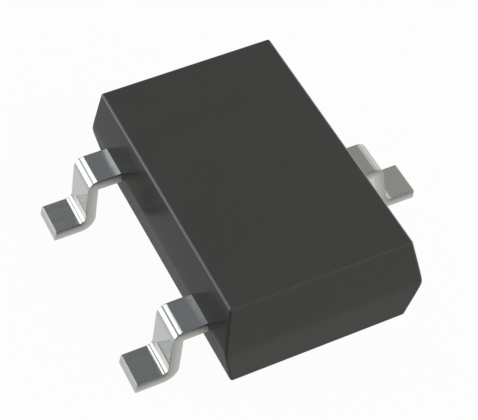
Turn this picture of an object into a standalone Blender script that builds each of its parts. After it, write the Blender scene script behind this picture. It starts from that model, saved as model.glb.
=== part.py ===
"""SOT-23 transistor: a moulded epoxy block on three gull-wing leads, with the die and its wires inside.

Every size below is in millimetres. The pieces hang from an empty scaled to a thousandth, so the scene
itself is in metres. X runs along the block, the pair of leads points to -Y and the single lead to +Y,
and Z = 0 is the seating plane under the feet. The origin is the middle of the footprint.
"""

import math

import bmesh
import bpy
from mathutils import Vector

UNIT_SCALE = 0.001  # one millimetre in the scene's metres

# Moulded block, measured at its parting line, where it is widest
BLOCK_LENGTH = 2.96
BLOCK_WIDTH = 1.89
UPPER_HEIGHT = 0.49  # parting line to top face
LOWER_HEIGHT = 0.51  # parting line to underside
STAND_OFF = 0.02  # underside above the seating plane
DRAFT_ANGLE = math.radians(10)
EDGE_RADIUS = 0.03
EDGE_SEGMENTS = 3

# Leadframe, stamped from one strip whose middle plane is the parting plane
STRIP_THICKNESS = 0.09
LEAD_WIDTH = 0.36
LEAD_PITCH = 0.95  # single lead's centre line to that of each lead of the pair, along X
TIP_RADIUS = 0.012  # corners of a foot in plan

# Gull-wing form outside the block
SHOULDER_LENGTH = 0.22  # block wall to the first bend
SHOULDER_BEND_RADIUS = 0.015  # inside of the bend
FOOT_BEND_RADIUS = 0.07  # inside of the bend
RISER_ANGLE = math.radians(8)  # off vertical
FOOT_LENGTH = 0.235  # flat from the second bend to the tip
BEND_STEPS = 10

# Leadframe inside the block
SIDE_COVER = 0.22  # compound between the frame's shapes and the long walls
END_COVER = 0.25  # compound between the lead pads and the end walls
PAD_LENGTH = 0.38  # lead pad along Y
PAD_REACH = 0.52  # lead pad from its lead's centre line towards the middle of the block
PADDLE_WIDTH = 1.24
FRAME_GAP = 0.14  # paddle to lead pads
FRAME_CORNER_RADIUS = 0.05
LOCK_HOLE_RADIUS = 0.06  # hole in the collector lead's neck that the compound keys through
CORNER_STEPS = 5
CORNER_SHARE = 0.45  # of a side, the most that the arc at one end of it takes up
HOLE_STEPS = 20

# Die and the glue under it
DIE_SIZE = 0.46
DIE_THICKNESS = 0.12
GLUE_MARGIN = 0.03
GLUE_THICKNESS = 0.015
BOND_PAD_SIZE = 0.11
BOND_PAD_THICKNESS = 0.006
BOND_PAD_INSET = 0.05  # die edge to a bond pad

# Bond wires
WIRE_RADIUS = 0.0125
LOOP_HEIGHT = 0.12  # top of the loop above the die
LANDING_SHARE = 0.45  # length of the curve's handle on the lead pad, as a share of the wire's span
LOOP_STEPS = 18
WIRE_ROUNDNESS_STEPS = 2  # points added to each quarter of the wire's section
BALL_RADIUS = 0.036
BALL_THICKNESS = 0.02
STITCH_RADIUS = 0.032
STITCH_THICKNESS = 0.016
STITCH_INSET = 0.11  # lead pad's corner to the stitch, along X and along Y
ROUND_SIDES = 16

# Clearances
SEAT_GAP = 0.002  # between inner pieces that rest on each other
MOULD_GAP = 0.005  # between the compound and everything it encloses

WELD_DISTANCE = 0.0001  # points nearer than this are one point
FLAT_ANGLE = math.radians(0.5)  # faces that turn by less than this are one face
SMOOTH_ANGLE = math.radians(35)  # edges that turn by more than this are shaded sharp

PARTING_HEIGHT = STAND_OFF + LOWER_HEIGHT
STRIP_TOP = PARTING_HEIGHT + STRIP_THICKNESS / 2
BEND_ANGLE = math.pi / 2 - RISER_ANGLE
SHOULDER_RADIUS = SHOULDER_BEND_RADIUS + STRIP_THICKNESS / 2
FOOT_RADIUS = FOOT_BEND_RADIUS + STRIP_THICKNESS / 2
LEAD_DROP = PARTING_HEIGHT - STRIP_THICKNESS / 2
BENDS_DROP = (SHOULDER_RADIUS + FOOT_RADIUS) * (1 - math.cos(BEND_ANGLE))
RISER_LENGTH = (LEAD_DROP - BENDS_DROP) / math.sin(BEND_ANGLE)
SHOULDER_END = BLOCK_WIDTH / 2 + SHOULDER_LENGTH
RISER_START = SHOULDER_END + SHOULDER_RADIUS * BEND_ANGLE
FOOT_BEND_START = RISER_START + RISER_LENGTH
FOOT_START = FOOT_BEND_START + FOOT_RADIUS * BEND_ANGLE
BLANK_TIP = FOOT_START + FOOT_LENGTH

FRAME_EDGE = BLOCK_WIDTH / 2 - SIDE_COVER
PAD_INNER_EDGE = FRAME_EDGE - PAD_LENGTH
PADDLE_INNER_EDGE = FRAME_GAP - PAD_INNER_EDGE
PADDLE_CENTRE = (FRAME_EDGE + PADDLE_INNER_EDGE) / 2
GLUE_BOTTOM = STRIP_TOP + SEAT_GAP
DIE_BOTTOM = GLUE_BOTTOM + GLUE_THICKNESS + SEAT_GAP
DIE_TOP = DIE_BOTTOM + DIE_THICKNESS
BOND_PAD_TOP = DIE_TOP + BOND_PAD_THICKNESS


def clear_scene():
    """Remove every object, so that the model starts from nothing."""
    for obj in list(bpy.data.objects):
        bpy.data.objects.remove(obj, do_unlink=True)


def new_collection(name):
    """A collection of this name in the scene."""
    collection = bpy.data.collections.new(name)
    bpy.context.scene.collection.children.link(collection)
    return collection


def finish(name, colour, roughness, metallic):
    """A Principled material with one colour, roughness and metallic value."""
    material = bpy.data.materials.new(name)
    material.use_nodes = True
    shader = material.node_tree.nodes["Principled BSDF"]
    shader.inputs["Base Color"].default_value = (*colour, 1)
    shader.inputs["Roughness"].default_value = roughness
    shader.inputs["Metallic"].default_value = metallic
    return material


def new_object(name, mesh, collection, root, material=None):
    """An object with this mesh, hung from the root empty."""
    obj = bpy.data.objects.new(name, mesh)
    obj.parent = root
    collection.objects.link(obj)
    if material:
        obj.data.materials.append(material)
    return obj


def make_cutter(obj):
    """Turn an object into a helper that only cuts."""
    obj.hide_render = True
    obj.display_type = "WIRE"


def mesh_of(work, name):
    """A mesh named name from the bmesh work, with its faces pointing out."""
    bmesh.ops.recalc_face_normals(work, faces=work.faces)
    mesh = bpy.data.meshes.new(name)
    work.to_mesh(mesh)
    work.free()
    return mesh


def shade_round(obj):
    """Smooth shading, kept sharp at the object's real edges."""
    obj.data.shade_smooth()
    obj.data.set_sharp_from_angle(angle=SMOOTH_ANGLE)


def grown(corners, margin):
    """Move every side of a counterclockwise outline out by margin. Corners are (x, y, radius)."""
    result = []
    for i, (x, y, radius) in enumerate(corners):
        here = Vector((x, y))
        before = (here - Vector(corners[i - 1][:2])).normalized()
        after = (Vector(corners[(i + 1) % len(corners)][:2]) - here).normalized()
        outwards = Vector((before.y, -before.x)) + Vector((after.y, -after.x))
        here += outwards * margin / (outwards.dot(Vector((after.y, -after.x))))
        turn = before.cross(after)
        result.append((here.x, here.y, max(radius + math.copysign(margin, turn), 0)))
    return result


def rounded(corners):
    """The points of an outline with an arc at each corner that both of its sides have room for."""
    points = []
    for i, (x, y, radius) in enumerate(corners):
        here = Vector((x, y))
        back = Vector(corners[i - 1][:2]) - here
        on = Vector(corners[(i + 1) % len(corners)][:2]) - here
        half_angle = back.angle(on) / 2
        reach = min(radius / math.tan(half_angle), CORNER_SHARE * back.length, CORNER_SHARE * on.length)
        if reach < CORNER_STEPS * WELD_DISTANCE:
            points.append(here)
            continue
        start = here + back.normalized() * reach
        end = here + on.normalized() * reach
        centre = here + (back.normalized() + on.normalized()).normalized() * reach / math.cos(half_angle)
        first, last = start - centre, end - centre
        for step in range(CORNER_STEPS + 1):
            direction = first.slerp(last, step / CORNER_STEPS).normalized()
            points.append(centre + direction * first.length)
    return points


def circle(x, y, radius):
    """The points of a round hole."""
    turns = [2 * math.pi * step / HOLE_STEPS for step in range(HOLE_STEPS)]
    return [Vector((x + radius * math.cos(turn), y + radius * math.sin(turn))) for turn in turns]


def sheet_mesh(name, outlines, thickness, middle, collection):
    """A flat sheet cut to closed outlines, with its middle plane at height middle, as a closed mesh."""
    curve = bpy.data.curves.new(name, "CURVE")
    curve.dimensions = "2D"
    curve.fill_mode = "BOTH"
    curve.extrude = thickness / 2
    for points in outlines:
        spline = curve.splines.new("POLY")
        spline.points.add(len(points) - 1)
        for point, corner in zip(spline.points, points):
            point.co = corner.to_4d()
        spline.use_cyclic_u = True
    flat = bpy.data.objects.new(name, curve)
    collection.objects.link(flat)
    graph = bpy.context.evaluated_depsgraph_get()
    mesh = bpy.data.meshes.new_from_object(flat.evaluated_get(graph))
    bpy.data.objects.remove(flat)
    bpy.data.curves.remove(curve)
    work = bmesh.new()
    work.from_mesh(mesh)
    bpy.data.meshes.remove(mesh)
    bmesh.ops.remove_doubles(work, verts=work.verts, dist=WELD_DISTANCE)
    bmesh.ops.translate(work, verts=work.verts, vec=(0, 0, middle))
    return mesh_of(work, name)


def formed(along, above):
    """Where a point of the flat lead goes when it is bent: (outward, height).

    along is the developed length from the block's centre line, above the height over the middle plane.
    The middle plane keeps its length: shoulder, arc down, riser, arc back, foot.
    """
    turn = min(max((along - SHOULDER_END) / SHOULDER_RADIUS, 0), BEND_ANGLE)
    down = min(max(along - RISER_START, 0), RISER_LENGTH)
    back = min(max((along - FOOT_BEND_START) / FOOT_RADIUS, 0), BEND_ANGLE)
    outward = min(along, SHOULDER_END) + max(along - FOOT_START, 0)
    outward += SHOULDER_RADIUS * math.sin(turn) + down * math.cos(BEND_ANGLE)
    outward += FOOT_RADIUS * (math.sin(BEND_ANGLE) - math.sin(BEND_ANGLE - back))
    height = PARTING_HEIGHT - SHOULDER_RADIUS * (1 - math.cos(turn)) - down * math.sin(BEND_ANGLE)
    height -= FOOT_RADIUS * (math.cos(BEND_ANGLE - back) - math.cos(BEND_ANGLE))
    slope = turn - back
    return outward + above * math.sin(slope), height + above * math.cos(slope)


def bend_lead(mesh):
    """Form a flat lead blank into a gull wing: score it across at each step of the bends, then bend it."""
    work = bmesh.new()
    work.from_mesh(mesh)
    for start, radius in ((SHOULDER_END, SHOULDER_RADIUS), (FOOT_BEND_START, FOOT_RADIUS)):
        for step in range(BEND_STEPS + 1):
            line = start + radius * BEND_ANGLE * step / BEND_STEPS
            everything = work.verts[:] + work.edges[:] + work.faces[:]
            bmesh.ops.bisect_plane(work, geom=everything, dist=WELD_DISTANCE, plane_co=(0, line, 0),
                                   plane_no=(0, 1, 0))
    for vertex in work.verts:
        vertex.co.yz = formed(vertex.co.y, vertex.co.z - PARTING_HEIGHT)
    bmesh.ops.dissolve_limit(work, angle_limit=FLAT_ANGLE, verts=work.verts, edges=work.edges)
    work.to_mesh(mesh)
    work.free()


def collector_outlines(tip, margin=0):
    """The collector lead and its die paddle in plan, with the hole that locks it in the compound."""
    half = LEAD_WIDTH / 2
    paddle = PADDLE_WIDTH / 2
    outline = [(half, tip, TIP_RADIUS), (-half, tip, TIP_RADIUS),
               (-half, FRAME_EDGE, FRAME_CORNER_RADIUS), (-paddle, FRAME_EDGE, FRAME_CORNER_RADIUS),
               (-paddle, PADDLE_INNER_EDGE, FRAME_CORNER_RADIUS),
               (paddle, PADDLE_INNER_EDGE, FRAME_CORNER_RADIUS),
               (paddle, FRAME_EDGE, FRAME_CORNER_RADIUS), (half, FRAME_EDGE, FRAME_CORNER_RADIUS)]
    return [rounded(grown(outline, margin)), circle(0, FRAME_EDGE, LOCK_HOLE_RADIUS - margin)]


def pair_outlines(tip, middle_side, margin=0):
    """A lead of the pair in plan, with its bond pad. middle_side is the side of X that faces the middle."""
    half = LEAD_WIDTH / 2
    ear = BLOCK_LENGTH / 2 - END_COVER - LEAD_PITCH
    outline = [(half, tip, TIP_RADIUS), (-half, tip, TIP_RADIUS),
               (-half, FRAME_EDGE, FRAME_CORNER_RADIUS), (-ear, FRAME_EDGE, FRAME_CORNER_RADIUS),
               (-ear, PAD_INNER_EDGE, FRAME_CORNER_RADIUS),
               (PAD_REACH, PAD_INNER_EDGE, FRAME_CORNER_RADIUS),
               (PAD_REACH, FRAME_EDGE, FRAME_CORNER_RADIUS), (half, FRAME_EDGE, FRAME_CORNER_RADIUS)]
    if middle_side < 0:
        outline = [(-x, y, radius) for x, y, radius in reversed(outline)]
    return [rounded(grown(outline, margin))]


def build_lead(name, outlines_of, x, turned, collections, root, material):
    """One lead, formed from its flat blank, and the slot and pocket that it leaves in the compound.

    outlines_of gives the plan for a tip distance and a margin. turned points the lead to -Y.
    """
    parts, cutters = collections
    lead = new_object(name, sheet_mesh(name, outlines_of(BLANK_TIP, 0), STRIP_THICKNESS, PARTING_HEIGHT,
                                       parts), parts, root, material)
    bend_lead(lead.data)
    shade_round(lead)
    pocket_thickness = STRIP_THICKNESS + 2 * MOULD_GAP
    pocket = new_object(name + "_pocket", sheet_mesh(name + "_pocket", outlines_of(SHOULDER_END, MOULD_GAP),
                                                     pocket_thickness, PARTING_HEIGHT, cutters),
                        cutters, root)
    make_cutter(pocket)
    for obj in (lead, pocket):
        obj.location.x = x
        obj.rotation_euler.z = math.pi if turned else 0


def box_mesh(name, size, centre):
    """A box of the given size about a centre."""
    work = bmesh.new()
    bmesh.ops.create_cube(work, size=1)
    bmesh.ops.scale(work, vec=size, verts=work.verts)
    bmesh.ops.translate(work, vec=centre, verts=work.verts)
    return mesh_of(work, name)


def join(target, other, operation="UNION"):
    """Apply a Boolean of two mesh objects to the target and remove the other."""
    modifier = target.modifiers.new(operation.lower(), "BOOLEAN")
    modifier.operation = operation
    modifier.solver = "EXACT"
    modifier.object = other
    graph = bpy.context.evaluated_depsgraph_get()
    joined = bpy.data.meshes.new_from_object(target.evaluated_get(graph))
    target.modifiers.remove(modifier)
    replaced = target.data
    target.data = joined
    bpy.data.meshes.remove(replaced)
    bpy.data.objects.remove(other)


def bond_pad_centre(side):
    """Centre of the die's bond pad on one side of X. The pads lie in the corners that face the lead pair."""
    from_middle = DIE_SIZE / 2 - BOND_PAD_INSET - BOND_PAD_SIZE / 2
    return Vector((side * from_middle, PADDLE_CENTRE - from_middle, BOND_PAD_TOP))


def stitch_centre(side):
    """Where a bond wire lands on a lead's pad, by the pad's corner nearest to the die."""
    pad_edge = LEAD_PITCH - PAD_REACH
    return Vector((side * (pad_edge + STITCH_INSET), -PAD_INNER_EDGE - STITCH_INSET, STRIP_TOP))


def build_die(parts, cutters, root, silicon, glue):
    """The silicon die with its two raised bond pads, and the glue layer that holds it to the paddle."""
    def block(name, side, bottom, height, margin, collection, material=None):
        size = (side + 2 * margin, side + 2 * margin, height + 2 * margin)
        centre = (0, PADDLE_CENTRE, bottom + height / 2)
        return new_object(name, box_mesh(name, size, centre), collection, root, material)

    die = block("die", DIE_SIZE, DIE_BOTTOM, DIE_THICKNESS, 0, parts, silicon)
    for side in (-1, 1):
        centre = bond_pad_centre(side)
        pad = new_object("bond_pad", box_mesh("bond_pad", (BOND_PAD_SIZE, BOND_PAD_SIZE,
                                                           2 * BOND_PAD_THICKNESS),
                                              (centre.x, centre.y, DIE_TOP)), parts, root)
        join(die, pad)
    glue_side = DIE_SIZE + 2 * GLUE_MARGIN
    block("die_attach", glue_side, GLUE_BOTTOM, GLUE_THICKNESS, 0, parts, glue)
    for name, side, bottom, height in (("die_pocket", DIE_SIZE, DIE_BOTTOM,
                                        DIE_THICKNESS + BOND_PAD_THICKNESS),
                                       ("die_attach_pocket", glue_side, GLUE_BOTTOM, GLUE_THICKNESS)):
        make_cutter(block(name, side, bottom, height, MOULD_GAP, cutters))


def disc(name, centre, radius, thickness, collection, root):
    """A flat round pad of metal about a centre."""
    work = bmesh.new()
    bmesh.ops.create_cone(work, cap_ends=True, segments=ROUND_SIDES, radius1=radius, radius2=radius,
                          depth=thickness)
    bmesh.ops.translate(work, vec=centre, verts=work.verts)
    return new_object(name, mesh_of(work, name), collection, root)


def upright_handle(rise, fall):
    """Length of the first handle of a cubic that leaves upright, tops out at rise and lands level at -fall.

    The height along such a cubic is 3t(1-t)^2 handle - (3t^2(1-t) + t^3) fall. Its top grows with the
    handle, so the span that the handle lies in is halved until both of its ends are the same.
    """
    samples = 200
    shares = [step / samples for step in range(samples)]
    low, high = rise, 10 * (rise + fall)
    while high - low > WELD_DISTANCE:
        handle = (low + high) / 2
        top = max(3 * t * (1 - t) ** 2 * handle - (3 * t * t * (1 - t) + t ** 3) * fall for t in shares)
        low, high = (handle, high) if top < rise else (low, handle)
    return high


def wire_object(name, side, margin, collection, root, material=None):
    """A bond wire with its ball and stitch, every surface moved out by margin.

    The wire is one cubic curve in an upright plane. It leaves the ball upright, leans over the die's
    edge and comes down level on the lead pad.
    """
    start = bond_pad_centre(side)
    end = stitch_centre(side)
    ball_middle = start.z + SEAT_GAP + BALL_THICKNESS / 2
    stitch_middle = end.z + SEAT_GAP + STITCH_THICKNESS / 2
    wire_end = end.z + 2 * SEAT_GAP + WIRE_RADIUS
    rise = DIE_TOP + LOOP_HEIGHT - WIRE_RADIUS - ball_middle
    curve = bpy.data.curves.new(name, "CURVE")
    curve.dimensions = "3D"
    curve.resolution_u = LOOP_STEPS
    curve.bevel_depth = WIRE_RADIUS + margin
    curve.bevel_resolution = WIRE_ROUNDNESS_STEPS
    curve.use_fill_caps = True
    spline = curve.splines.new("BEZIER")
    spline.bezier_points.add(1)
    first, last = spline.bezier_points
    first.co = (start.x, start.y, ball_middle)
    across = Vector((end.x - start.x, end.y - start.y, 0))
    last.co = Vector((end.x, end.y, wire_end)) + across.normalized() * margin
    first.handle_left = first.co - Vector((0, 0, rise))
    first.handle_right = first.co + Vector((0, 0, upright_handle(rise, ball_middle - wire_end)))
    last.handle_left = last.co - across * LANDING_SHARE
    last.handle_right = last.co + across * LANDING_SHARE
    tube = bpy.data.objects.new(name, curve)
    collection.objects.link(tube)
    graph = bpy.context.evaluated_depsgraph_get()
    raw = bpy.data.meshes.new_from_object(tube.evaluated_get(graph))
    bpy.data.objects.remove(tube)
    bpy.data.curves.remove(curve)
    work = bmesh.new()
    work.from_mesh(raw)
    bpy.data.meshes.remove(raw)
    bmesh.ops.remove_doubles(work, verts=work.verts, dist=WELD_DISTANCE)
    wire = new_object(name, mesh_of(work, name), collection, root, material)
    for label, x, y, middle, radius, thickness in (
            ("ball", start.x, start.y, ball_middle, BALL_RADIUS, BALL_THICKNESS),
            ("stitch", end.x, end.y, stitch_middle, STITCH_RADIUS, STITCH_THICKNESS)):
        foot = disc(label, (x, y, middle), radius + margin, thickness + 2 * margin, collection, root)
        join(wire, foot)
    return wire


def build_block(parts, cutters, root, material):
    """The moulded block: two drafts that meet at the parting line, rounded edges, and the inner pocket."""
    work = bmesh.new()
    bmesh.ops.create_cube(work, size=1)
    bmesh.ops.scale(work, vec=(BLOCK_LENGTH, BLOCK_WIDTH, UPPER_HEIGHT + LOWER_HEIGHT), verts=work.verts)
    bmesh.ops.translate(work, vec=(0, 0, STAND_OFF + (UPPER_HEIGHT + LOWER_HEIGHT) / 2),
                        verts=work.verts)
    bmesh.ops.bisect_plane(work, geom=work.verts[:] + work.edges[:] + work.faces[:],
                           plane_co=(0, 0, PARTING_HEIGHT), plane_no=(0, 0, 1))
    for vertex in work.verts:
        inset = abs(vertex.co.z - PARTING_HEIGHT) * math.tan(DRAFT_ANGLE)
        vertex.co.x -= math.copysign(inset, vertex.co.x)
        vertex.co.y -= math.copysign(inset, vertex.co.y)
    block = new_object("mould_body", mesh_of(work, "mould_body"), parts, root, material)
    edges = block.modifiers.new("rounded_edges", "BEVEL")
    edges.width = EDGE_RADIUS
    edges.segments = EDGE_SEGMENTS
    edges.limit_method = "ANGLE"
    edges.angle_limit = 3 * DRAFT_ANGLE  # the parting line turns by twice the draft and stays sharp
    pocket = block.modifiers.new("pocket", "BOOLEAN")
    pocket.operation = "DIFFERENCE"
    pocket.solver = "EXACT"
    pocket.operand_type = "COLLECTION"
    pocket.collection = cutters
    shade_round(block)


def build():
    """The whole transistor."""
    clear_scene()
    parts = new_collection("sot_23_transistor")
    cutters = new_collection("pockets_in_the_compound")
    root = bpy.data.objects.new("transistor", None)
    root.scale = (UNIT_SCALE, UNIT_SCALE, UNIT_SCALE)
    parts.objects.link(root)

    compound = finish("black epoxy moulding compound", (0.052, 0.051, 0.048), 0.5, 0)
    tin = finish("matte tin plate", (0.72, 0.73, 0.72), 0.28, 1)
    silicon = finish("silicon", (0.16, 0.17, 0.2), 0.25, 0)
    glue = finish("silver-filled epoxy", (0.55, 0.55, 0.53), 0.55, 0.4)
    gold = finish("gold wire", (0.9, 0.62, 0.22), 0.25, 1)

    build_lead("collector_lead", collector_outlines, 0, False, (parts, cutters), root, tin)
    for name, side in (("base_lead", -1), ("emitter_lead", 1)):
        def outlines_of(tip, margin, side=side):
            return pair_outlines(tip, side, margin)
        build_lead(name, outlines_of, side * LEAD_PITCH, True, (parts, cutters), root, tin)
    build_die(parts, cutters, root, silicon, glue)
    for name, side in (("base_bond_wire", -1), ("emitter_bond_wire", 1)):
        shade_round(wire_object(name, side, 0, parts, root, gold))
        make_cutter(wire_object(name + "_pocket", side, MOULD_GAP, cutters, root))
    build_block(parts, cutters, root, compound)


build()
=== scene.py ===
"""Looks of a SOT-23 transistor: a moulded epoxy block on three tin-plated gull-wing leads, in a small studio.

Every size in the classes below is in millimetres, in the frame of the CAD model: X runs along the block, the
pair of leads points to -Y, the single lead to +Y, and Z = 0 is the plane under the feet. Blender works in
metres, so a mesh is scaled by METRES_PER_MM as it is made.
"""

from __future__ import annotations

import logging
import math
from dataclasses import dataclass
from enum import Enum
from typing import Mapping

import bpy
import numpy as np
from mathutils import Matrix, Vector
from numpy.typing import NDArray

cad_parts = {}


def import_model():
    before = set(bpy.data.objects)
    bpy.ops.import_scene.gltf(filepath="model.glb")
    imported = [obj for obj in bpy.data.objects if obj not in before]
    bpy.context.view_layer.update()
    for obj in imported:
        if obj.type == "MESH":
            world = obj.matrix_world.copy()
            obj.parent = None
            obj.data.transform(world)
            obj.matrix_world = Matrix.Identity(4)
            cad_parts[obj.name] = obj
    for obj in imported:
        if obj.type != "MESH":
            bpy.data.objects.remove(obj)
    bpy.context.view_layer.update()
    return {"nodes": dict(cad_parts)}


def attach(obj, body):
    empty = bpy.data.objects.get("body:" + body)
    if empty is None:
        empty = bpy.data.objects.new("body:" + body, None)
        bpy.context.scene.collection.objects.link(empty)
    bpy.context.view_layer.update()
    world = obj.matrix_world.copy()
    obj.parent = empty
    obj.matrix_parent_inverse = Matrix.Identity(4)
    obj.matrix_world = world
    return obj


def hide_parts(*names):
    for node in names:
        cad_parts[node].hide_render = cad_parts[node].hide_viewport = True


Array = NDArray[np.float64]

METRES_PER_MM = 0.001

FLOAT_A, FLOAT_B, COLOUR_A, COLOUR_B = 2, 3, 6, 7  # input sockets of a Mix node
FLOAT_MIXED, COLOUR_MIXED = 0, 2  # and its output sockets
PLAIN, FINE, RICH = 2.0, 3.0, 4.0  # octaves of a noise pattern
NOISE_LOW, NOISE_HIGH = 0.3, 0.7  # between which most of a noise pattern lies

log = logging.getLogger("transistor")


class Row(Enum):
    """The long side of the block that a lead leaves, as the sign of Y there."""

    PAIR = -1
    SINGLE = 1


# Colours and nodes


def linear(code: str) -> tuple[float, float, float, float]:
    """Turn an sRGB hex colour into Blender's linear colour.

    The sRGB curve is a line up to a channel of 0.04045 and a power of 2.4 above it.

    Args:
        code: The colour as "#RRGGBB".

    Returns:
        Linear red, green and blue, and an alpha of 1.
    """
    channels = np.array([int(code[start:start + 2], 16) for start in (1, 3, 5)]) / 255
    light = np.where(channels <= 0.04045, channels / 12.92, ((channels + 0.055) / 1.055) ** 2.4)
    return (*light.tolist(), 1.0)


def per_size(size: float) -> float:
    """Scale of a texture whose features are size millimetres across, on coordinates in metres."""
    return 1 / (size * METRES_PER_MM)


def connect(node: bpy.types.Node, links: Mapping[str | int, bpy.types.NodeSocket]) -> None:
    """Feed a node's input sockets, by name or index, from output sockets."""
    for name, source in links.items():
        node.id_data.links.new(source, node.inputs[name])


def add_node(
    tree: bpy.types.NodeTree,
    kind: str,
    settings: Mapping[str, object] | None = None,
    values: Mapping[str | int, object] | None = None,
    links: Mapping[str | int, bpy.types.NodeSocket] | None = None,
) -> bpy.types.Node:
    """Add a node with its settings, its input values and its links.

    Args:
        tree: The node tree that gets the node.
        kind: Blender's type name of the node.
        settings: Properties of the node itself, by name.
        values: Values of its input sockets, by name or index.
        links: Output sockets that feed its input sockets, by name or index.

    Returns:
        The new node.
    """
    made = tree.nodes.new(kind)
    for name, value in (settings or {}).items():
        setattr(made, name, value)
    for name, value in (values or {}).items():
        made.inputs[name].default_value = value
    connect(made, links or {})
    return made


def new_material(name: str, values: Mapping[str | int, object]) -> tuple[bpy.types.Material, bpy.types.Node]:
    """Start a material on a Principled shader.

    Args:
        name: The real material and how its surface was made.
        values: Values of the shader's sockets that are the same all over the surface.

    Returns:
        The material and its shader node.
    """
    material = bpy.data.materials.new(name)
    material.use_nodes = True
    shader = material.node_tree.nodes["Principled BSDF"]
    for socket, value in values.items():
        shader.inputs[socket].default_value = value
    return material, shader


# Meshes


@dataclass(frozen=True)
class Skin:
    """A closed surface of rings: a grid of points with its outward normals, each end closed by a flat face.

    points and normals have a row for each ring and a column for each place round it. masks holds values
    from 0 to 1 at each point, by name, for the materials to read. along and around are the real lengths
    in millimetres that make the UV map. around has one value more than there are columns.
    """

    points: Array
    normals: Array
    masks: Mapping[str, Array]
    along: Array
    around: Array

    def piece(self, name: str, material: bpy.types.Material) -> bpy.types.Object:
        """Put the surface into a mesh.

        Args:
            name: Name of the piece.
            material: Its material.

        Returns:
            The object, at the origin, with its place in its mesh.
        """
        rows, columns = self.points.shape[:2]
        row, column = np.meshgrid(np.arange(rows - 1), np.arange(columns), indexing="ij")
        corner_row = row.reshape(-1, 1) + np.array([0, 0, 1, 1])
        corner_column = column.reshape(-1, 1) + np.array([0, 1, 1, 0])
        ring = np.arange(columns)
        faces = (corner_row * columns + corner_column % columns).tolist()
        faces += [ring[::-1].tolist(), (ring + (rows - 1) * columns).tolist()]
        mesh = bpy.data.meshes.new(name)
        mesh.from_pydata((self.points.reshape(-1, 3) * METRES_PER_MM).tolist(), [], faces)

        across = np.stack([self.along[corner_row], self.around[corner_column]], axis=-1).reshape(-1, 2)
        ends = np.concatenate([np.stack([np.full(columns, self.along[0]), self.around[:-1][::-1]], axis=-1),
                               np.stack([np.full(columns, self.along[-1]), self.around[:-1]], axis=-1)])
        mesh.uv_layers.new(name="real_size").data.foreach_set("uv", np.concatenate([across, ends]).ravel())
        for label, mask in self.masks.items():
            mesh.attributes.new(label, "FLOAT", "POINT").data.foreach_set("value", mask.ravel())
        mesh.materials.append(material)
        mesh.shade_smooth()
        mesh.normals_split_custom_set_from_vertices(self.normals.reshape(-1, 3).tolist())
        mesh.validate()
        piece = bpy.data.objects.new(name, mesh)
        bpy.context.scene.collection.objects.link(piece)
        return piece


def unit(vectors: Array) -> Array:
    """The vectors scaled to length 1."""
    return vectors / np.linalg.norm(vectors, axis=-1, keepdims=True)


# Finishes


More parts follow.
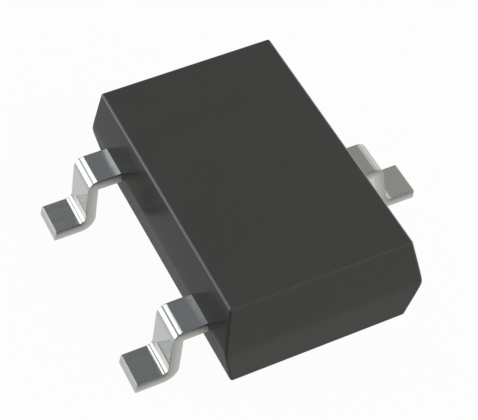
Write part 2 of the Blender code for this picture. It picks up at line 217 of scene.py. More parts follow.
@dataclass(frozen=True)
class MouldedCompound:
    """Black epoxy with silica filler, transfer-moulded in a steel cavity.

    It gives the eye a warm dark grey with a satin gloss, in which a lead that stands before it is
    mirrored, a fine even grain from the cavity wall and here and there the pale point of a filler grain.
    The long upper edges gleam from handling. The lower half, from the coarser half of the mould, is
    duller.
    """

    colour: str = "#434340"
    cloud_colour: str = "#464642"
    filler_colour: str = "#50504C"
    grain: float = 0.03  # cavity texture, drawn coarser than the real 0.01 mm so that it shows
    grain_depth: float = 0.0004
    cloud: float = 0.6  # of the faint clouds in its shade and gloss
    filler_spacing: float = 0.07
    filler_edge: tuple[float, float] = (0.2, 0.1)  # shares of the spacing where a point starts and is whole
    filler_contrast: float = 0.6
    filler_rarity: float = 0.72  # the random value that a cell has to exceed to show its point
    bump: float = 0.6
    roughness: tuple[float, float] = (0.15, 0.2)
    lower_roughness: float = 0.5
    ior: float = 1.14  # under the resin's own 1.55, since the filled skin breaks up most of what it mirrors
    polish_ior: float = 1.55  # the resin's own, which shows where handling has smoothed the edges
    polish_roughness: float = 0.24

    def material(self) -> bpy.types.Material:
        """Build the finish's nodes.

        Returns:
            The material, which reads the masks "rubbed" and "lower_half" of the mesh.
        """
        material, shader = new_material("moulded silica-filled epoxy", {
            "Metallic": 0.0, "IOR": self.ior, "Coat IOR": self.polish_ior,
            "Coat Roughness": self.polish_roughness})
        tree = material.node_tree
        place = add_node(tree, "ShaderNodeTexCoord").outputs["Object"]
        rubbed = add_node(tree, "ShaderNodeAttribute", {"attribute_name": "rubbed"}).outputs["Fac"]
        lower = add_node(tree, "ShaderNodeAttribute", {"attribute_name": "lower_half"}).outputs["Fac"]
        cloud = add_node(tree, "ShaderNodeTexNoise", values={"Scale": per_size(self.cloud), "Detail": RICH},
                         links={"Vector": place}).outputs["Fac"]
        grain = add_node(tree, "ShaderNodeTexNoise", values={"Scale": per_size(self.grain), "Detail": FINE},
                         links={"Vector": place}).outputs["Fac"]
        cells = add_node(tree, "ShaderNodeTexVoronoi", values={"Scale": per_size(self.filler_spacing)},
                         links={"Vector": place})
        near = add_node(tree, "ShaderNodeMapRange", values={
            "From Min": self.filler_edge[0], "From Max": self.filler_edge[1], "To Max": self.filler_contrast},
            links={"Value": cells.outputs["Distance"]}).outputs["Result"]
        chosen = add_node(tree, "ShaderNodeMath", {"operation": "GREATER_THAN"}, {1: self.filler_rarity},
                          {0: cells.outputs["Color"]}).outputs["Value"]
        speck = add_node(tree, "ShaderNodeMath", {"operation": "MULTIPLY"}, links={0: near, 1: chosen})
        clouded = add_node(tree, "ShaderNodeMix", {"data_type": "RGBA"}, {
            COLOUR_A: linear(self.colour), COLOUR_B: linear(self.cloud_colour)}, {"Factor": cloud})
        tone = add_node(tree, "ShaderNodeMix", {"data_type": "RGBA"}, {COLOUR_B: linear(self.filler_colour)},
                        {"Factor": speck.outputs["Value"], COLOUR_A: clouded.outputs[COLOUR_MIXED]})
        gloss = add_node(tree, "ShaderNodeMapRange", values={
            "From Min": NOISE_LOW, "From Max": NOISE_HIGH, "To Min": self.roughness[0],
            "To Max": self.roughness[1]}, links={"Value": cloud}).outputs["Result"]
        halves = add_node(tree, "ShaderNodeMix", {"data_type": "FLOAT"}, {FLOAT_B: self.lower_roughness},
                          {"Factor": lower, FLOAT_A: gloss})
        bump = add_node(tree, "ShaderNodeBump", values={
            "Strength": self.bump, "Distance": self.grain_depth * METRES_PER_MM}, links={"Height": grain})
        connect(shader, {"Base Color": tone.outputs[COLOUR_MIXED], "Roughness": halves.outputs[FLOAT_MIXED],
                         "Coat Weight": rubbed, "Normal": bump.outputs["Normal"]})
        return material


@dataclass(frozen=True)
class TinPlate:
    """Matte tin, electroplated over stamped strip.

    It gives the eye a bright, slightly warm metal whose reflections are soft, with the faint lines of the
    rolled strip running along the lead. On the sheared sides a dark band, partly the punch's burnish and
    partly painted shade, starts at the rolled-over edge and turns into the paler, duller break below. The
    risers' sides are left pale, without that painted shade, and so is the tip, which broke off the frame.
    """

    colour: str = "#B8B8B5"
    streak_colour: str = "#B0B0AD"
    # dark at the rolled-over edge of the sides: partly the burnish of the cut, partly painted shade
    edge_burnish_and_shade_colour: str = "#676763"
    burnish_colour: str = "#9A9994"
    break_colour: str = "#BABAB7"
    burnish_depth: float = 0.35  # share of the thickness
    grain: float = 0.012  # nodules of the plating, drawn coarser than the real 0.004 mm so that they show
    grain_depth: float = 0.00025
    rolling_line: float = 0.02
    rolling_length: float = 1.2
    bump: float = 0.5
    roughness: tuple[float, float] = (0.12, 0.18)
    cut_roughness: float = 0.42

    def material(self) -> bpy.types.Material:
        """Build the finish's nodes.

        Returns:
            The material, which reads the masks "sheared" and "depth" of the mesh and its UV map.
        """
        material, shader = new_material("electroplated matte tin", {"Metallic": 1.0})
        tree = material.node_tree
        coordinates = add_node(tree, "ShaderNodeTexCoord")
        sheared = add_node(tree, "ShaderNodeAttribute", {"attribute_name": "sheared"}).outputs["Fac"]
        depth = add_node(tree, "ShaderNodeAttribute", {"attribute_name": "depth"}).outputs["Fac"]
        lines_at = add_node(tree, "ShaderNodeMapping", values={
            "Scale": (1 / self.rolling_length, 1 / self.rolling_line, 1)},
            links={"Vector": coordinates.outputs["UV"]}).outputs["Vector"]
        lines = add_node(tree, "ShaderNodeTexNoise", values={"Scale": 1.0, "Detail": FINE},
                         links={"Vector": lines_at}).outputs["Fac"]
        grain = add_node(tree, "ShaderNodeTexNoise", values={"Scale": per_size(self.grain), "Detail": PLAIN},
                         links={"Vector": coordinates.outputs["Object"]}).outputs["Fac"]
        height = add_node(tree, "ShaderNodeMath", {"operation": "ADD"}, links={0: lines, 1: grain})
        gloss = add_node(tree, "ShaderNodeMapRange", values={
            "From Min": NOISE_LOW, "From Max": NOISE_HIGH, "To Min": self.roughness[0],
            "To Max": self.roughness[1]}, links={"Value": lines}).outputs["Result"]
        cut_gloss = add_node(tree, "ShaderNodeMix", {"data_type": "FLOAT"}, {FLOAT_B: self.cut_roughness},
                             {"Factor": sheared, FLOAT_A: gloss})
        face = add_node(tree, "ShaderNodeMix", {"data_type": "RGBA"}, {
            COLOUR_A: linear(self.colour), COLOUR_B: linear(self.streak_colour)}, {"Factor": lines})
        side = add_node(tree, "ShaderNodeValToRGB", links={"Fac": depth})
        bands = side.color_ramp.elements
        # the ramp's dark end, at the rolled-over edge, is partly burnish and partly painted shade
        bands[0].color, bands[1].color = linear(self.edge_burnish_and_shade_colour), linear(self.break_colour)
        bands.new(self.burnish_depth).color = linear(self.burnish_colour)
        tone = add_node(tree, "ShaderNodeMix", {"data_type": "RGBA"}, links={
            "Factor": sheared, COLOUR_A: face.outputs[COLOUR_MIXED], COLOUR_B: side.outputs["Color"]})
        bump = add_node(tree, "ShaderNodeBump", values={
            "Strength": self.bump, "Distance": self.grain_depth * METRES_PER_MM},
            links={"Height": height.outputs["Value"]})
        connect(shader, {"Base Color": tone.outputs[COLOUR_MIXED], "Normal": bump.outputs["Normal"],
                         "Roughness": cut_gloss.outputs[FLOAT_MIXED]})
        return material


@dataclass(frozen=True)
class FrameCopper:
    """Copper alloy strip, rolled and stamped, with silver plated over its inner part.

    It gives the eye a reddish satin metal with fine straight rolling lines, which turns milky white near
    the block's middle, where the die and the wires are bonded.
    """

    colour: str = "#C08262"
    streak_colour: str = "#AE7050"
    silver_colour: str = "#DAD8D2"
    silver_reach: float = 0.6  # to each side of the block's centre line
    silver_fade: float = 0.015
    rolling_line: float = 0.015
    rolling_length: float = 0.8
    line_depth: float = 0.0003
    bump: float = 0.5
    roughness: tuple[float, float] = (0.24, 0.34)

    def material(self) -> bpy.types.Material:
        """Build the finish's nodes.

        Returns:
            The material, with the rolling lines along Y.
        """
        material, shader = new_material("rolled copper alloy with spot silver", {"Metallic": 1.0})
        tree = material.node_tree
        place = add_node(tree, "ShaderNodeTexCoord").outputs["Object"]
        across, along = per_size(self.rolling_line), per_size(self.rolling_length)
        lines_at = add_node(tree, "ShaderNodeMapping", values={"Scale": (across, along, across)},
                            links={"Vector": place}).outputs["Vector"]
        lines = add_node(tree, "ShaderNodeTexNoise", values={"Scale": 1.0, "Detail": FINE},
                         links={"Vector": lines_at}).outputs["Fac"]
        outward = add_node(tree, "ShaderNodeSeparateXYZ", links={"Vector": place}).outputs["Y"]
        reach = add_node(tree, "ShaderNodeMath", {"operation": "ABSOLUTE"}, links={0: outward})
        silver = add_node(tree, "ShaderNodeMapRange", values={
            "From Min": (self.silver_reach + self.silver_fade) * METRES_PER_MM,
            "From Max": (self.silver_reach - self.silver_fade) * METRES_PER_MM},
            links={"Value": reach.outputs["Value"]}).outputs["Result"]
        copper = add_node(tree, "ShaderNodeMix", {"data_type": "RGBA"}, {
            COLOUR_A: linear(self.colour), COLOUR_B: linear(self.streak_colour)}, {"Factor": lines})
        tone = add_node(tree, "ShaderNodeMix", {"data_type": "RGBA"}, {COLOUR_B: linear(self.silver_colour)},
                        {"Factor": silver, COLOUR_A: copper.outputs[COLOUR_MIXED]})
        gloss = add_node(tree, "ShaderNodeMapRange", values={
            "To Min": self.roughness[0], "To Max": self.roughness[1]}, links={"Value": lines})
        bump = add_node(tree, "ShaderNodeBump", values={
            "Strength": self.bump, "Distance": self.line_depth * METRES_PER_MM}, links={"Height": lines})
        connect(shader, {"Base Color": tone.outputs[COLOUR_MIXED], "Roughness": gloss.outputs["Result"],
                         "Normal": bump.outputs["Normal"]})
        return material


@dataclass(frozen=True)
class SawnSilicon:
    """Silicon, lapped and passivated on top and sawn at the sides, with bond pads of sputtered aluminium.

    It gives the eye a slate-blue near-mirror on top, level saw marks round its sides and bright pads.
    """

    colour: str = "#3B404D"
    sawn_colour: str = "#53565B"
    pad_colour: str = "#D4D5D6"
    top_level: float = 0.7135
    pad_level: float = 0.7165  # halfway up the bond pads' thickness
    step: float = 0.0004  # half the height over which one finish turns into the next
    saw_mark: float = 0.008  # drawn coarser than the real 0.003 mm
    saw_mark_length: float = 0.3
    mark_depth: float = 0.0004
    bump: float = 0.5
    roughness: tuple[float, float] = (0.08, 0.38)
    ior: float = 3.5

    def material(self) -> bpy.types.Material:
        """Build the finish's nodes.

        Returns:
            The material, parted by height into sides, top and pads.
        """
        material, shader = new_material("sawn silicon with sputtered aluminium pads", {"IOR": self.ior})
        tree = material.node_tree
        place = add_node(tree, "ShaderNodeTexCoord").outputs["Object"]
        height = add_node(tree, "ShaderNodeSeparateXYZ", links={"Vector": place}).outputs["Z"]
        top, pad = (add_node(tree, "ShaderNodeMapRange", values={
            "From Min": (level - self.step) * METRES_PER_MM, "From Max": (level + self.step) * METRES_PER_MM},
            links={"Value": height}).outputs["Result"] for level in (self.top_level, self.pad_level))
        along, up = per_size(self.saw_mark_length), per_size(self.saw_mark)
        marks_at = add_node(tree, "ShaderNodeMapping", values={"Scale": (along, along, up)},
                            links={"Vector": place}).outputs["Vector"]
        marks = add_node(tree, "ShaderNodeTexNoise", values={"Scale": 1.0, "Detail": FINE},
                         links={"Vector": marks_at}).outputs["Fac"]
        side = add_node(tree, "ShaderNodeMix", {"data_type": "RGBA"}, {
            COLOUR_A: linear(self.colour), COLOUR_B: linear(self.sawn_colour)}, {"Factor": marks})
        face = add_node(tree, "ShaderNodeMix", {"data_type": "RGBA"}, {COLOUR_B: linear(self.colour)},
                        {"Factor": top, COLOUR_A: side.outputs[COLOUR_MIXED]})
        tone = add_node(tree, "ShaderNodeMix", {"data_type": "RGBA"}, {COLOUR_B: linear(self.pad_colour)},
                        {"Factor": pad, COLOUR_A: face.outputs[COLOUR_MIXED]})
        gloss = add_node(tree, "ShaderNodeMapRange", values={
            "To Min": self.roughness[1], "To Max": self.roughness[0]}, links={"Value": top})
        bump = add_node(tree, "ShaderNodeBump", values={
            "Strength": self.bump, "Distance": self.mark_depth * METRES_PER_MM}, links={"Height": marks})
        connect(shader, {"Base Color": tone.outputs[COLOUR_MIXED], "Metallic": pad,
                         "Roughness": gloss.outputs["Result"], "Normal": bump.outputs["Normal"]})
        return material


@dataclass(frozen=True)
class SilverEpoxy:
    """Epoxy filled with silver flakes, put down as paste and cured.

    It gives the eye a mid-grey satin film in which single flakes glint.
    """

    resin_colour: str = "#85827B"
    flake_colour: str = "#D0CEC9"
    flake: float = 0.012  # drawn coarser than the real 0.005 mm
    flake_depth: float = 0.0006
    bare: tuple[float, float] = (0.45, 0.6)  # a cell's random value at which its flake is hidden, or bare
    bump: float = 0.6
    roughness: tuple[float, float] = (0.28, 0.55)
    ior: float = 1.55

    def material(self) -> bpy.types.Material:
        """Build the finish's nodes.

        Returns:
            The material. A cell of its pattern whose random value is high is a bare flake.
        """
        material, shader = new_material("cured silver-filled epoxy", {"IOR": self.ior})
        tree = material.node_tree
        place = add_node(tree, "ShaderNodeTexCoord").outputs["Object"]
        cells = add_node(tree, "ShaderNodeTexVoronoi", values={"Scale": per_size(self.flake)},
                         links={"Vector": place})
        flake = add_node(tree, "ShaderNodeMapRange", values={
            "From Min": self.bare[0], "From Max": self.bare[1]},
            links={"Value": cells.outputs["Color"]}).outputs["Result"]
        tone = add_node(tree, "ShaderNodeMix", {"data_type": "RGBA"}, {
            COLOUR_A: linear(self.resin_colour), COLOUR_B: linear(self.flake_colour)}, {"Factor": flake})
        gloss = add_node(tree, "ShaderNodeMapRange", values={
            "To Min": self.roughness[1], "To Max": self.roughness[0]}, links={"Value": flake})
        bump = add_node(tree, "ShaderNodeBump", values={
            "Strength": self.bump, "Distance": self.flake_depth * METRES_PER_MM},
            links={"Height": cells.outputs["Distance"]})
        connect(shader, {"Base Color": tone.outputs[COLOUR_MIXED], "Metallic": flake,
                         "Roughness": gloss.outputs["Result"], "Normal": bump.outputs["Normal"]})
        return material


@dataclass(frozen=True)
class DrawnGold:
    """Gold wire, drawn through a die and welded at both ends.

    It gives the eye a deep yellow gleam with a faint mottle from the annealed grain.
    """

    colour: str = "#EDBE55"
    grain_colour: str = "#DDA941"
    grain: float = 0.008  # drawn coarser than the real 0.003 mm
    grain_depth: float = 0.0002
    bump: float = 0.4
    roughness: tuple[float, float] = (0.12, 0.24)

    def material(self) -> bpy.types.Material:
        """Build the finish's nodes.

        Returns:
            The material.
        """
        material, shader = new_material("drawn gold wire", {"Metallic": 1.0})
        tree = material.node_tree
        place = add_node(tree, "ShaderNodeTexCoord").outputs["Object"]
        grain = add_node(tree, "ShaderNodeTexNoise", values={"Scale": per_size(self.grain), "Detail": PLAIN},
                         links={"Vector": place}).outputs["Fac"]
        tone = add_node(tree, "ShaderNodeMix", {"data_type": "RGBA"}, {
            COLOUR_A: linear(self.colour), COLOUR_B: linear(self.grain_colour)}, {"Factor": grain})
        gloss = add_node(tree, "ShaderNodeMapRange", values={
            "To Min": self.roughness[0], "To Max": self.roughness[1]}, links={"Value": grain})
        bump = add_node(tree, "ShaderNodeBump", values={
            "Strength": self.bump, "Distance": self.grain_depth * METRES_PER_MM}, links={"Height": grain})
        connect(shader, {"Base Color": tone.outputs[COLOUR_MIXED], "Roughness": gloss.outputs["Result"],
                         "Normal": bump.outputs["Normal"]})
        return material


# The transistor's pieces


@dataclass
class Block:
    """The moulded block: two drafted halves that meet at the parting line, with small rounded edges."""

    length: float = 2.96
    width: float = 1.89
    top: float = 1.02
    bottom: float = 0.02
    parting_height: float = 0.53
    draft: float = math.radians(10)
    edge_radius: float = 0.024
    corner_radius: float = 0.026  # of the upright edges, in plan
    fold: float = 0.04  # half the height over which the parting line turns
    edge_steps: int = 10
    corner_steps: int = 10
    wall_steps: int = 6

    def half_profile(self, height: float) -> dict[str, Array]:
        """Work out one half of the block's profile, from the parting line to a flat face.

        A point of the profile is an inset from the parting line's rectangle and a height. On the wall,
        with rise the height over the parting line, the inset is the tangent of the draft times (the root
        of (rise squared + fold squared), less fold times the share of the wall still above). It is a
        hyperbola that is upright at the parting line and ends on the straight wall. The edge is an arc of
        edge_radius between the wall and the flat face: with tilt the angle of its normal over the
        horizon, the inset grows by radius (cos draft - cos tilt) and the height is
        height - radius + radius sin(tilt).

        Args:
            height: Height of the flat face over the parting line.

        Returns:
            inset, height, corner (radius in plan), the rate of each along the profile, and rounding.
            That is 0 on the wall and, round the edge, twice the sine of pi times the share gone through,
            at most 1.
        """
        slope = math.tan(self.draft)
        edge_start = height - self.edge_radius * (1 - math.sin(self.draft))
        rise = np.concatenate([np.linspace(0, 2 * self.fold, self.wall_steps),  # closer at the fold
                               np.linspace(2 * self.fold, edge_start, self.wall_steps)[1:-1]])
        wall_inset = slope * (np.hypot(rise, self.fold) - self.fold * (1 - rise / edge_start))
        tilt = np.linspace(self.draft, np.pi / 2, self.edge_steps + 1)
        along_edge = (tilt - self.draft) / (np.pi / 2 - self.draft)
        edge_growth = self.edge_radius * (math.cos(self.draft) - np.cos(tilt))
        return {
            "inset": np.concatenate([wall_inset, slope * math.hypot(edge_start, self.fold) + edge_growth]),
            "height": np.concatenate([rise, height - self.edge_radius * (1 - np.sin(tilt))]),
            "corner": self.corner_radius - np.concatenate([np.zeros(rise.size), edge_growth]),
            "inset_rate": np.concatenate([slope * rise / np.hypot(rise, self.fold), np.sin(tilt)]),
            "height_rate": np.concatenate([np.ones(rise.size), np.cos(tilt)]),
            "corner_rate": np.concatenate([np.zeros(rise.size), -np.sin(tilt)]),
            "rounding": np.concatenate([np.zeros(rise.size), np.minimum(2 * np.sin(np.pi * along_edge), 1)]),
        }

    def profile(self) -> dict[str, Array]:
        """Join the lower half of the profile, mirrored, and the upper half.

        Returns:
            The whole profile from the underside up, with the keys of half_profile. Below the parting line
            the rounding is 0.
        """
        lower = self.half_profile(self.parting_height - self.bottom)
        upper = self.half_profile(self.top - self.parting_height)
        flips = {"height": -1, "inset_rate": -1, "corner_rate": -1, "rounding": 0}
        whole = {key: np.concatenate([flips.get(key, 1) * lower[key][:0:-1], upper[key]]) for key in upper}
        whole["height"] += self.parting_height
        return whole

    def skin(self) -> Skin:
        """Carry the profile round the block.

        The plan of every ring is a rectangle with arcs at its corners. With a the angle round the plan,
        and sx and sy the signs of the corner that a lies in, a point is
        x = sx (length/2 - inset - corner) + corner cos a, y = sy (width/2 - inset - corner) + corner sin a.
        Its normal is the cross product of the tangents along the ring and along the profile.

        Returns:
            The block's surface. Its rubbed mask is 1 on the long upper edges and fades out round the
            corners, and its lower_half mask is 1 below the parting line.
        """
        profile = {key: value[:, None] for key, value in self.profile().items()}
        quarter = np.linspace(0, np.pi / 2, self.corner_steps + 1)
        turn = (np.arange(4)[:, None] * np.pi / 2 + quarter).ravel()
        side_x = np.repeat([1, -1, -1, 1], quarter.size)
        side_y = np.repeat([1, 1, -1, -1], quarter.size)
        reach_x = self.length / 2 - profile["inset"] - profile["corner"]
        reach_y = self.width / 2 - profile["inset"] - profile["corner"]
        x = side_x * reach_x + profile["corner"] * np.cos(turn)
        y = side_y * reach_y + profile["corner"] * np.sin(turn)
        z = np.broadcast_to(profile["height"], x.shape)
        spread = np.abs(np.cos(turn)) + np.abs(np.sin(turn))
        lean = (profile["inset_rate"] + profile["corner_rate"]) * spread - profile["corner_rate"]
        normals = np.stack([profile["height_rate"] * np.cos(turn), profile["height_rate"] * np.sin(turn),
                            lean], axis=-1)
        below = np.clip((self.parting_height - z) / (2 * self.fold) + 0.5, 0, 1)
        points = np.stack([x, y, z], axis=-1)
        widest = points[points.shape[0] // 2]
        around = np.linalg.norm(np.roll(widest, -1, axis=0) - widest, axis=-1)
        climb = np.hypot(np.diff(profile["inset"][:, 0]), np.diff(profile["height"][:, 0]))
        rubbed = profile["rounding"] * np.sin(turn) ** 2
        return Skin(points, unit(normals), {"rubbed": rubbed, "lower_half": below},
                    np.concatenate([[0], np.cumsum(climb)]), np.concatenate([[0], np.cumsum(around)]))

    def build(self, finish: MouldedCompound) -> bpy.types.Object:
        """Make the block in place of its CAD node.

        Args:
            finish: The compound's finish.

        Returns:
            The piece.
        """
        piece = self.skin().piece("moulded_block", finish.material())
        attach(piece, "root")
        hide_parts("mould_body")
        return piece


@dataclass
class LeadPlating:
    """The plated skin over the exposed part of a lead, from inside the block's wall to the tip.

    The CAD lead under it keeps its place. The skin stands a hair over it, so that the bends are round and
    the stamped edges soft: rolled over on the upper side, where the punch went in, and crisper below.
    """

    name: str
    x: float
    row: Row
    width: float = 0.36
    thickness: float = 0.09
    skin_thickness: float = 0.004  # enough to clear the strip's square corners inside the rounded ones
    roll_radius: float = 0.012
    burr_radius: float = 0.004
    least_radius: float = 0.0005  # which a corner keeps at the tip, so that its points stay apart
    tip_radius: float = 0.012
    tip_lean: float = math.radians(13)  # of the cut face, which comes out furthest at its lower edge
    unshaded_riser_share: float = 0.45  # least depth shown on the risers' sides, which keeps the painted shade of the rolled edge off them
    start: float = 0.9  # from the block's centre line, just inside its wall
    shoulder_end: float = 1.165
    middle_height: float = 0.53
    shoulder_radius: float = 0.06  # of the middle plane
    foot_radius: float = 0.115
    bend: float = math.radians(82)
    foot_length: float = 0.235
    bend_steps: int = 24
    edge_steps: int = 6

    @property
    def riser_length(self) -> float:
        """Work out the straight between the bends.

        Returns:
            Its length, which leaves the foot's underside at height 0.
        """
        drop = self.middle_height - self.thickness / 2
        bends = (self.shoulder_radius + self.foot_radius) * (1 - math.cos(self.bend))
        return (drop - bends) / math.sin(self.bend)

    def stations(self) -> tuple[Array, Array, Array, Array]:
        """Where the section is placed along the lead, in developed length from the block's centre line.

        Returns:
            The developed length, the section's inset there, the angle by which the skin turns in at the
            tip, and the tangent of the cut face's lean there. At the tip the length is
            tip - radius + radius sin(turn) and the inset is radius - radius cos(turn).
        """
        riser_start = self.shoulder_end + self.shoulder_radius * self.bend
        foot_bend = riser_start + self.riser_length
        foot_start = foot_bend + self.foot_radius * self.bend
        tip = foot_start + self.foot_length + self.skin_thickness
        turn = np.linspace(0, np.pi / 2, self.edge_steps + 1)
        straight = np.concatenate([
            [self.start],
            np.linspace(self.shoulder_end, riser_start, self.bend_steps + 1),
            np.linspace(foot_bend, foot_start, self.bend_steps + 1),
        ])
        along = np.concatenate([straight, tip - self.tip_radius * (1 - np.sin(turn))])
        inset = np.concatenate([np.zeros(straight.size), self.tip_radius * (1 - np.cos(turn))])
        lean = np.where(np.arange(along.size) < straight.size, 0, math.tan(self.tip_lean))
        return along, inset, np.concatenate([np.zeros(straight.size), turn]), lean

    def path(self, along: Array) -> tuple[Array, Array, Array]:
        """Follow the lead's middle plane: shoulder, arc down, riser, arc back, foot.

        Each arc adds radius sin(angle) outwards and takes radius (1 - cos(angle)) off the height, with the
        angle the length along the arc over its radius.

        Args:
            along: Developed length from the block's centre line.

        Returns:
            The distance from the centre line, the height, and the slope below the horizon there.
        """
        down = np.clip((along - self.shoulder_end) / self.shoulder_radius, 0, self.bend)
        riser_start = self.shoulder_end + self.shoulder_radius * self.bend
        fallen = np.clip(along - riser_start, 0, self.riser_length)
        foot_bend = riser_start + self.riser_length
        back = np.clip((along - foot_bend) / self.foot_radius, 0, self.bend)
        foot = np.maximum(along - foot_bend - self.foot_radius * self.bend, 0)
        outward = (np.minimum(along, self.shoulder_end) + self.shoulder_radius * np.sin(down)
                   + fallen * math.cos(self.bend)
                   + self.foot_radius * (math.sin(self.bend) - np.sin(self.bend - back)) + foot)
        height = (self.middle_height - self.shoulder_radius * (1 - np.cos(down))
                  - fallen * math.sin(self.bend)
                  - self.foot_radius * (np.cos(self.bend - back) - math.cos(self.bend)))
        return outward, height, down - back

    def section(self, inset: Array) -> tuple[Array, Array, Array, Array]:
        """The stamped strip's section, clockwise from the right of its upper side.

        It is a rectangle with an arc at each corner. A station's inset moves every side in, and shortens
        the arcs' radius by as much, down to least_radius.

        Args:
            inset: One value for each station.

        Returns:
            Sideways and upward place of each point, by station and place round the section, and the
            sideways and upward parts of the normal, by place round the section.
        """
        quarter = np.linspace(0, np.pi / 2, self.edge_steps + 1)
        turn = (np.pi / 2 - np.arange(4)[:, None] * np.pi / 2 - quarter).ravel()
        side = np.repeat([1, 1, -1, -1], quarter.size)
        upper = np.repeat([1, -1, -1, 1], quarter.size)
        radius = np.where(upper > 0, self.roll_radius, self.burr_radius)
        left = np.maximum(radius - inset[:, None], self.least_radius)
        reach = self.width / 2 + self.skin_thickness - inset[:, None] - left
        rise = self.thickness / 2 + self.skin_thickness - inset[:, None] - left
        across, up = np.cos(turn), np.sin(turn)
        return side * reach + left * across, upper * rise + left * up, across, up

    def skin(self) -> Skin:
        """Carry the section along the path.

        With s the slope, the section's upward direction is (sin s, cos s) in outward distance and height,
        and its forward direction is (cos s, -sin s). At the tip a point moves out by the lean's tangent
        times its depth under the upper side, and its normal tips up by that tangent times its forward
        part. A lead of the pair is the same shape turned by half a circle about Z.

        Returns:
            The plated surface. Its sheared mask is 1 on the sides and the tip, which the die cut. It is
            twice the part of the normal that points sideways or forward, at most 1. Its depth mask goes
            from 0 on the upper side, where the punch went in, to 1 on the under side; its low end paints
            shade on the sides. It is at least a share of the thickness times the sine of the slope, which
            keeps that painted shade off the risers' sides, and 1 on the tip, where the strip broke off the
            frame.
        """
        along, inset, turn, lean = self.stations()
        outward, height, slope = (value[:, None] for value in self.path(along))
        sideways, upwards, normal_x, normal_up = self.section(inset)
        turn, lean = turn[:, None], lean[:, None]
        outward = outward + lean * (self.thickness / 2 + self.skin_thickness - upwards)
        points = np.stack([sideways, outward + upwards * np.sin(slope), height + upwards * np.cos(slope)],
                          axis=-1)
        forward = np.sin(turn)
        level = np.cos(turn) * normal_up + lean * forward
        normals = np.stack([np.cos(turn) * normal_x, level * np.sin(slope) + forward * np.cos(slope),
                            level * np.cos(slope) - forward * np.sin(slope)], axis=-1)
        half_turn = np.array([self.row.value, self.row.value, 1])
        sheared = np.minimum(2 * np.maximum(np.abs(normal_x), np.sin(turn)), 1)
        # the risers' sides keep none of the painted shade at the rolled-over edge
        unshaded_from = np.maximum(self.unshaded_riser_share * np.sin(slope), np.sin(turn))
        depth = np.clip(0.5 - upwards / self.thickness, unshaded_from, 1)
        ring = np.stack([sideways[0], upwards[0]], axis=-1)
        around = np.linalg.norm(np.roll(ring, -1, axis=0) - ring, axis=-1)
        return Skin(points * half_turn + np.array([self.x, 0, 0]), unit(normals) * half_turn,
                    {"sheared": sheared, "depth": depth}, along,
                    np.concatenate([[0], np.cumsum(around)]))

    def build(self, finish: bpy.types.Material) -> bpy.types.Object:
        """Make the plating.

        Args:
            finish: The plating's material.

        Returns:
            The piece.
        """
        piece = self.skin().piece(self.name, finish)
        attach(piece, "root")
        return piece


@dataclass
class InnerParts:
    """What the block encloses, and the strip under the plating: CAD nodes that keep their shape."""

    leads: tuple[str, ...] = ("collector_lead", "base_lead", "emitter_lead")
    die: str = "die"
    glue: str = "die_attach"
    wires: tuple[str, ...] = ("base_bond_wire", "emitter_bond_wire")

    def dress(self, nodes: Mapping[str, bpy.types.Object]) -> None:
        """Give each node its finish.

        Args:
            nodes: The frame's nodes by name.
        """
        finishes = ((self.leads, FrameCopper()), ((self.die,), SawnSilicon()), ((self.glue,), SilverEpoxy()),
                    (self.wires, DrawnGold()))
        for names, finish in finishes:
            material = finish.material()
            for name in names:
                for slot in nodes[name].material_slots:
                    slot.material = material
                log.info("%s: %s", name, material.name)


# The studio


@dataclass(frozen=True)
class PaperSweep:
    """White paper, coated and matt, that lies under the part and curves up into a low round wall."""

    colour: str = "#AAAAA8"
    lift: float = 0.97  # share of plain white that the camera and the metal see in place of the paper's shade
    level: float = -0.005
    middle_radius: float = 20.0  # of the flat disc that closes the middle
    floor_radius: float = 350.0
    curve_radius: float = 150.0
    wall_height: float = 200.0
    steps: int = 24
    sides: int = 96

    def material(self) -> bpy.types.Material:
        """Build the paper's nodes.

        Returns:
            The material: matt white, lifted towards plain white as the camera and mirroring surfaces see it.
        """
        material = bpy.data.materials.new("matt white paper")
        material.use_nodes = True
        tree = material.node_tree
        tree.nodes.clear()
        rays = add_node(tree, "ShaderNodeLightPath").outputs
        seen = rays["Is Camera Ray"]
        for name in ("Is Glossy Ray", "Is Transmission Ray"):
            seen = add_node(tree, "ShaderNodeMath", {"operation": "MAXIMUM"},
                            links={0: seen, 1: rays[name]}).outputs["Value"]
        share = add_node(tree, "ShaderNodeMath", {"operation": "MULTIPLY"}, {1: self.lift}, {0: seen})
        paper = add_node(tree, "ShaderNodeBsdfDiffuse", values={"Color": linear(self.colour)})
        white = add_node(tree, "ShaderNodeEmission", values={"Strength": 1.0})
        mixed = add_node(tree, "ShaderNodeMixShader", links={
            0: share.outputs["Value"], 1: paper.outputs["BSDF"], 2: white.outputs["Emission"]})
        add_node(tree, "ShaderNodeOutputMaterial", links={"Surface": mixed.outputs["Shader"]})
        return material

    def build(self) -> None:
        """Carry the sweep's profile round Z: flat floor, quarter circle, upright wall."""
        turn = np.linspace(0, np.pi / 2, self.steps)
        radius = np.concatenate([[self.middle_radius], self.floor_radius + self.curve_radius * np.sin(turn),
                                 [self.floor_radius + self.curve_radius]])
        height = self.level + np.concatenate([[0], self.curve_radius * (1 - np.cos(turn)),
                                              [self.wall_height]])
        angle = np.linspace(0, 2 * np.pi, self.sides, endpoint=False)
        points = np.stack([radius[:, None] * np.cos(angle), radius[:, None] * np.sin(angle),
                           np.broadcast_to(height[:, None], (radius.size, self.sides))], axis=-1)
        row, column = np.meshgrid(np.arange(radius.size - 1), np.arange(self.sides), indexing="ij")
        corner_row = row.reshape(-1, 1) + np.array([0, 1, 1, 0])
        corner_column = (column.reshape(-1, 1) + np.array([0, 0, 1, 1])) % self.sides
        faces = (corner_row * self.sides + corner_column).tolist() + [np.arange(self.sides).tolist()]
        mesh = bpy.data.meshes.new("paper_sweep")
        mesh.from_pydata((points.reshape(-1, 3) * METRES_PER_MM).tolist(), [], faces)
        mesh.materials.append(self.material())
        mesh.shade_smooth()
        sweep = bpy.data.objects.new("paper_sweep", mesh)
        bpy.context.scene.collection.objects.link(sweep)


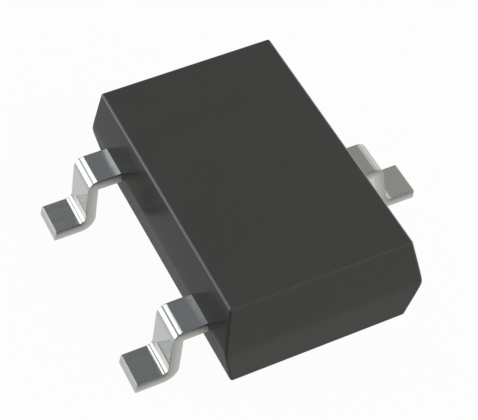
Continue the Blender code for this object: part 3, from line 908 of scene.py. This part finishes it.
@dataclass(frozen=True)
class SoftLamp:
    """A rectangular soft lamp that faces the part."""

    name: str
    direction: tuple[float, float, float]  # from the part to the lamp
    distance: float
    size: tuple[float, float]
    brightness: float  # radiance, where 1 shows as plain white
    colour: str = "#FFFFFF"

    def build(self) -> None:
        """Hang the lamp. A lamp's power is pi times its brightness times its area in square metres."""
        light = bpy.data.lights.new(self.name, "AREA")
        light.shape = "RECTANGLE"
        light.size, light.size_y = (side * METRES_PER_MM for side in self.size)
        light.energy = math.pi * self.brightness * light.size * light.size_y
        light.color = linear(self.colour)[:3]
        lamp = bpy.data.objects.new(self.name, light)
        away = Vector(self.direction).normalized()
        lamp.location = away * self.distance * METRES_PER_MM
        lamp.rotation_euler = away.to_track_quat("Z", "Y").to_euler()
        bpy.context.scene.collection.objects.link(lamp)


@dataclass(frozen=True)
class Studio:
    """Paper, soft lamps and the dim room above them.

    The key lamp lights the block's top and its short end. The high side lamp gives each bend of the pair
    a bright stripe and its shoulders a sheen, and the low one sets a second stripe beside the first and
    a gleam on the long wall. The far card makes the collector pale and warm, and the far low card draws
    the stripe in its bend.
    """

    sweep: PaperSweep = PaperSweep()
    room_colour: str = "#8A8E92"
    backdrop_colour: str = "#FDFDFD"  # what the camera sees past the paper, in the paper's own shade
    lamps: tuple[SoftLamp, ...] = (
        SoftLamp("key_lamp", (0.56, 0.62, 0.55), 350.0, (330.0, 310.0), 3.8),
        SoftLamp("high_side_lamp", (-0.6277, -0.1866, 0.7558), 400.0, (230.0, 113.0), 2.45, "#F1F8FF"),
        SoftLamp("low_side_lamp", (-0.643, -0.714, 0.276), 300.0, (125.0, 189.0), 2.3),
        SoftLamp("far_card", (-0.568, 0.676, 0.47), 300.0, (170.0, 346.0), 0.28, "#FFF6E6"),
        SoftLamp("far_low_card", (-0.612, 0.587, 0.53), 300.0, (76.0, 133.0), 0.42),
    )

    def build(self) -> None:
        """Set up the paper, the lamps and the world."""
        self.sweep.build()
        for lamp in self.lamps:
            lamp.build()
        world = bpy.data.worlds.new("dim_room")
        world.use_nodes = True
        tree = world.node_tree
        seen = add_node(tree, "ShaderNodeLightPath").outputs["Is Camera Ray"]
        colour = add_node(tree, "ShaderNodeMix", {"data_type": "RGBA"}, {
            COLOUR_A: linear(self.room_colour), COLOUR_B: linear(self.backdrop_colour)}, {"Factor": seen})
        connect(tree.nodes["Background"], {"Color": colour.outputs[COLOUR_MIXED]})
        bpy.context.scene.world = world
        bpy.context.scene.view_settings.view_transform = "Standard"


@dataclass(frozen=True)
class PhotoCamera:
    """The camera that took the photograph, found by fitting the part's corners to it."""

    place: tuple[float, float, float] = (9.1675, -4.4728, 12.0582)
    azimuth: float = math.radians(64.592)
    elevation: float = math.radians(48.778)
    lens: float = 128.376
    sensor: float = 36.0
    clip: tuple[float, float] = (1.0, 10000.0)  # nearest and furthest that it sees

    def build(self) -> None:
        """Place the camera. It looks back along the direction that its azimuth and elevation give."""
        data = bpy.data.cameras.new("photo_camera")
        data.lens, data.sensor_width = self.lens, self.sensor
        data.clip_start, data.clip_end = (distance * METRES_PER_MM for distance in self.clip)
        camera = bpy.data.objects.new("photo_camera", data)
        back = Vector((math.sin(self.azimuth) * math.cos(self.elevation),
                       -math.cos(self.azimuth) * math.cos(self.elevation), math.sin(self.elevation)))
        camera.location = Vector(self.place) * METRES_PER_MM
        camera.rotation_euler = (-back).to_track_quat("-Z", "Y").to_euler()
        bpy.context.scene.collection.objects.link(camera)
        bpy.context.scene.camera = camera


def main() -> None:
    """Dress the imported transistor, light it and place the camera."""
    logging.basicConfig(level=logging.INFO, format="%(message)s")
    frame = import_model()

    block = Block().build(MouldedCompound())
    log.info("%s: %d faces", block.name, len(block.data.polygons))
    tin = TinPlate().material()
    for plating in (LeadPlating("collector_plating", x=0.0, row=Row.SINGLE, tip_lean=0.0),
                    LeadPlating("base_plating", x=-0.95, row=Row.PAIR),
                    LeadPlating("emitter_plating", x=0.95, row=Row.PAIR)):
        piece = plating.build(tin)
        log.info("%s: %d faces", piece.name, len(piece.data.polygons))

    InnerParts().dress(frame["nodes"])

    Studio().build()
    PhotoCamera().build()


if __name__ == "__main__":
    main()
